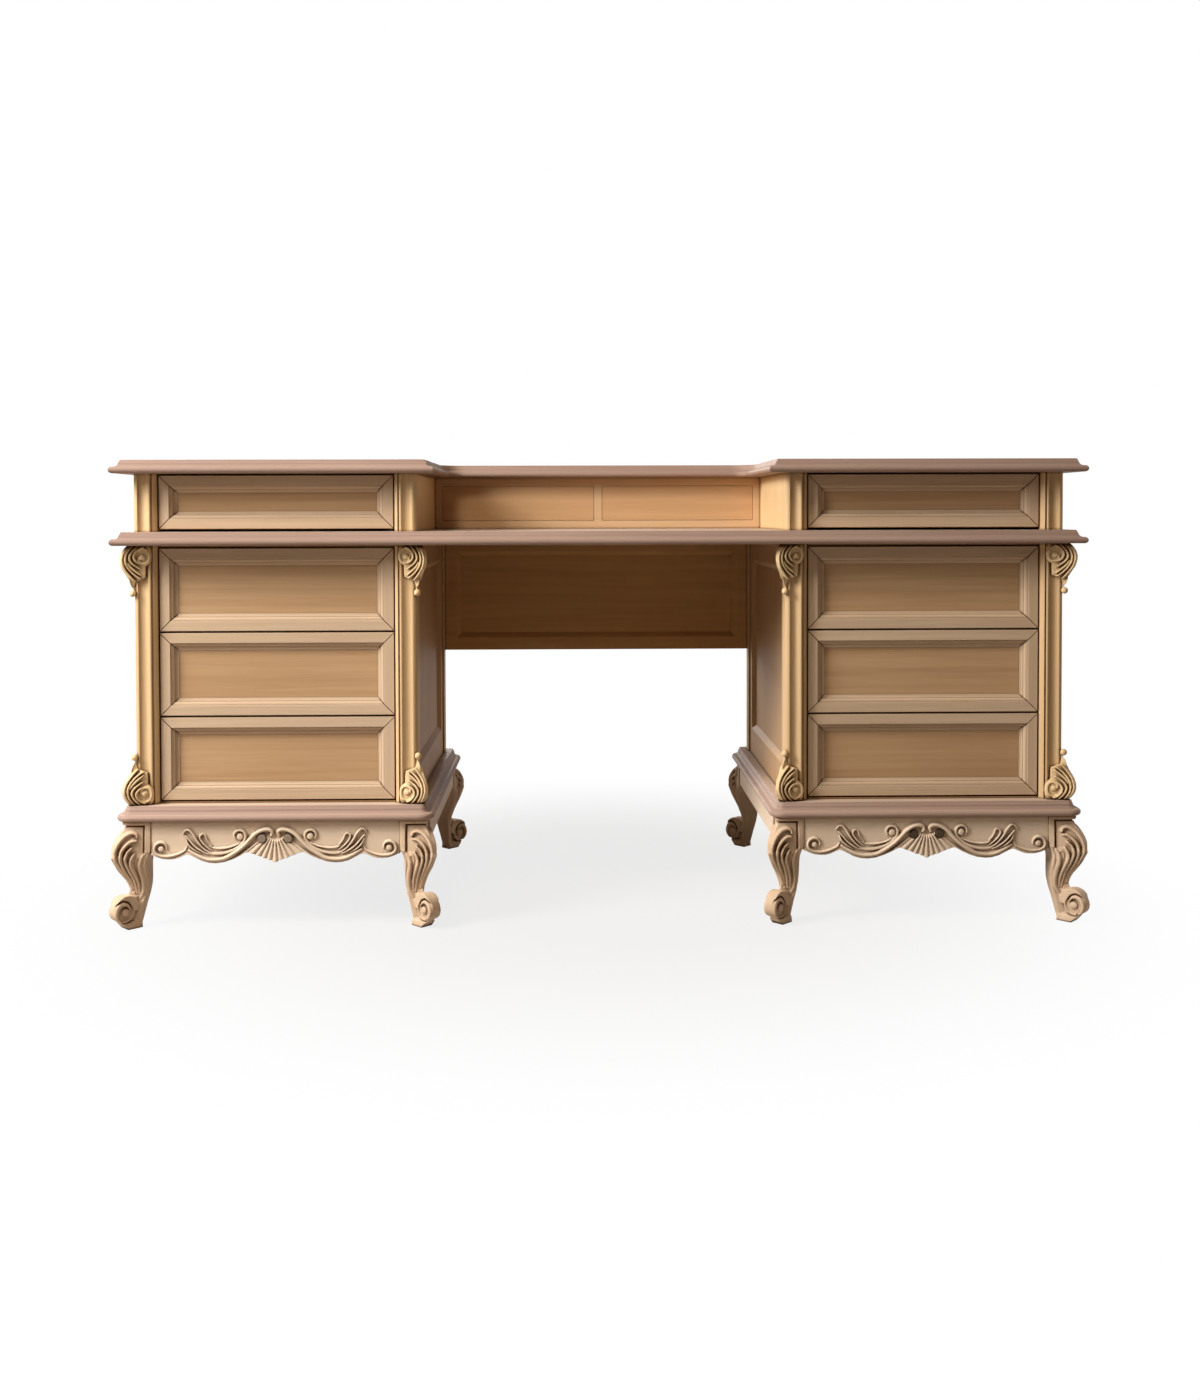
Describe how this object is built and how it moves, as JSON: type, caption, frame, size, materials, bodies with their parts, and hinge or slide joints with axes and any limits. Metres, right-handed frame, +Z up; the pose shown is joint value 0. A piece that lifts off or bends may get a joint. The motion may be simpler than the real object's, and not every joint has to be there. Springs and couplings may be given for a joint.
{
  "type": "pedestal desk",
  "caption": "Double-pedestal writing desk on carved cabriole legs, with a raised drawer gallery set back over the knee hole.",
  "frame": {"origin": "on the floor, under the middle of the desk's bounding box", "axes": "+X to the sitter's right, -Y towards the sitter, +Z up"},
  "size_m": [1.8942, 0.7242, 0.9],
  "materials": {
    "moulded_wood": "satin",
    "leg_wood": "satin",
    "post_wood": "satin",
    "panel_wood": "satin",
    "lining_wood": "matte",
    "frame_wood": "satin"
  },
  "bodies": {
    "carcass": {"gallery_top": "moulded_wood", "worktop": "moulded_wood", "left_plinth_board": "moulded_wood", "right_plinth_board": "moulded_wood", "left_front_apron": "leg_wood", "right_front_apron": "leg_wood", "side_aprons": "leg_wood", "left_front_outer_leg": "leg_wood", "left_front_inner_leg": "leg_wood", "left_rear_outer_leg": "leg_wood", "left_rear_inner_leg": "leg_wood", "right_front_outer_leg": "leg_wood", "right_front_inner_leg": "leg_wood", "right_rear_outer_leg": "leg_wood", "right_rear_inner_leg": "leg_wood", "left_pedestal_posts": "post_wood", "left_pedestal_frames": "frame_wood", "left_pedestal_panels": "panel_wood", "right_pedestal_posts": "post_wood", "right_pedestal_frames": "frame_wood", "right_pedestal_panels": "panel_wood", "pedestal_runners": "lining_wood", "top_brackets": "post_wood", "bottom_brackets": "post_wood", "gallery_posts": "post_wood", "gallery_sides": "frame_wood", "gallery_back": "frame_wood", "niche_face_frame": "frame_wood", "gallery_runners": "lining_wood", "modesty_frame": "frame_wood", "modesty_panel": "panel_wood", "leg_dowels": "lining_wood"},
    "left_upper_drawer": {"left_upper_drawer_front_frame": "frame_wood", "left_upper_drawer_front_panel": "panel_wood", "left_upper_drawer_box": "lining_wood"},
    "left_middle_drawer": {"left_middle_drawer_front_frame": "frame_wood", "left_middle_drawer_front_panel": "panel_wood", "left_middle_drawer_box": "lining_wood"},
    "left_lower_drawer": {"left_lower_drawer_front_frame": "frame_wood", "left_lower_drawer_front_panel": "panel_wood", "left_lower_drawer_box": "lining_wood"},
    "left_gallery_drawer": {"left_gallery_drawer_front_frame": "frame_wood", "left_gallery_drawer_front_panel": "panel_wood", "left_gallery_drawer_box": "lining_wood"},
    "right_upper_drawer": {"right_upper_drawer_front_frame": "frame_wood", "right_upper_drawer_front_panel": "panel_wood", "right_upper_drawer_box": "lining_wood"},
    "right_middle_drawer": {"right_middle_drawer_front_frame": "frame_wood", "right_middle_drawer_front_panel": "panel_wood", "right_middle_drawer_box": "lining_wood"},
    "right_lower_drawer": {"right_lower_drawer_front_frame": "frame_wood", "right_lower_drawer_front_panel": "panel_wood", "right_lower_drawer_box": "lining_wood"},
    "right_gallery_drawer": {"right_gallery_drawer_front_frame": "frame_wood", "right_gallery_drawer_front_panel": "panel_wood", "right_gallery_drawer_box": "lining_wood"},
    "left_niche_drawer": {"left_niche_drawer_front": "panel_wood", "left_niche_drawer_box": "lining_wood"},
    "right_niche_drawer": {"right_niche_drawer_front": "panel_wood", "right_niche_drawer_box": "lining_wood"}
  },
  "joints": [
    {"name": "left_upper_drawer_slide", "type": "slide", "parent": "carcass", "child": "left_upper_drawer", "axis": [0, -1, 0], "range_m": [0, 0.4]},
    {"name": "left_middle_drawer_slide", "type": "slide", "parent": "carcass", "child": "left_middle_drawer", "axis": [0, -1, 0], "range_m": [0, 0.4]},
    {"name": "left_lower_drawer_slide", "type": "slide", "parent": "carcass", "child": "left_lower_drawer", "axis": [0, -1, 0], "range_m": [0, 0.4]},
    {"name": "left_gallery_drawer_slide", "type": "slide", "parent": "carcass", "child": "left_gallery_drawer", "axis": [0, -1, 0], "range_m": [0, 0.4]},
    {"name": "right_upper_drawer_slide", "type": "slide", "parent": "carcass", "child": "right_upper_drawer", "axis": [0, -1, 0], "range_m": [0, 0.4]},
    {"name": "right_middle_drawer_slide", "type": "slide", "parent": "carcass", "child": "right_middle_drawer", "axis": [0, -1, 0], "range_m": [0, 0.4]},
    {"name": "right_lower_drawer_slide", "type": "slide", "parent": "carcass", "child": "right_lower_drawer", "axis": [0, -1, 0], "range_m": [0, 0.4]},
    {"name": "right_gallery_drawer_slide", "type": "slide", "parent": "carcass", "child": "right_gallery_drawer", "axis": [0, -1, 0], "range_m": [0, 0.4]},
    {"name": "left_niche_drawer_slide", "type": "slide", "parent": "carcass", "child": "left_niche_drawer", "axis": [0, -1, 0], "range_m": [0, 0.14]},
    {"name": "right_niche_drawer_slide", "type": "slide", "parent": "carcass", "child": "right_niche_drawer", "axis": [0, -1, 0], "range_m": [0, 0.14]}
  ]
}
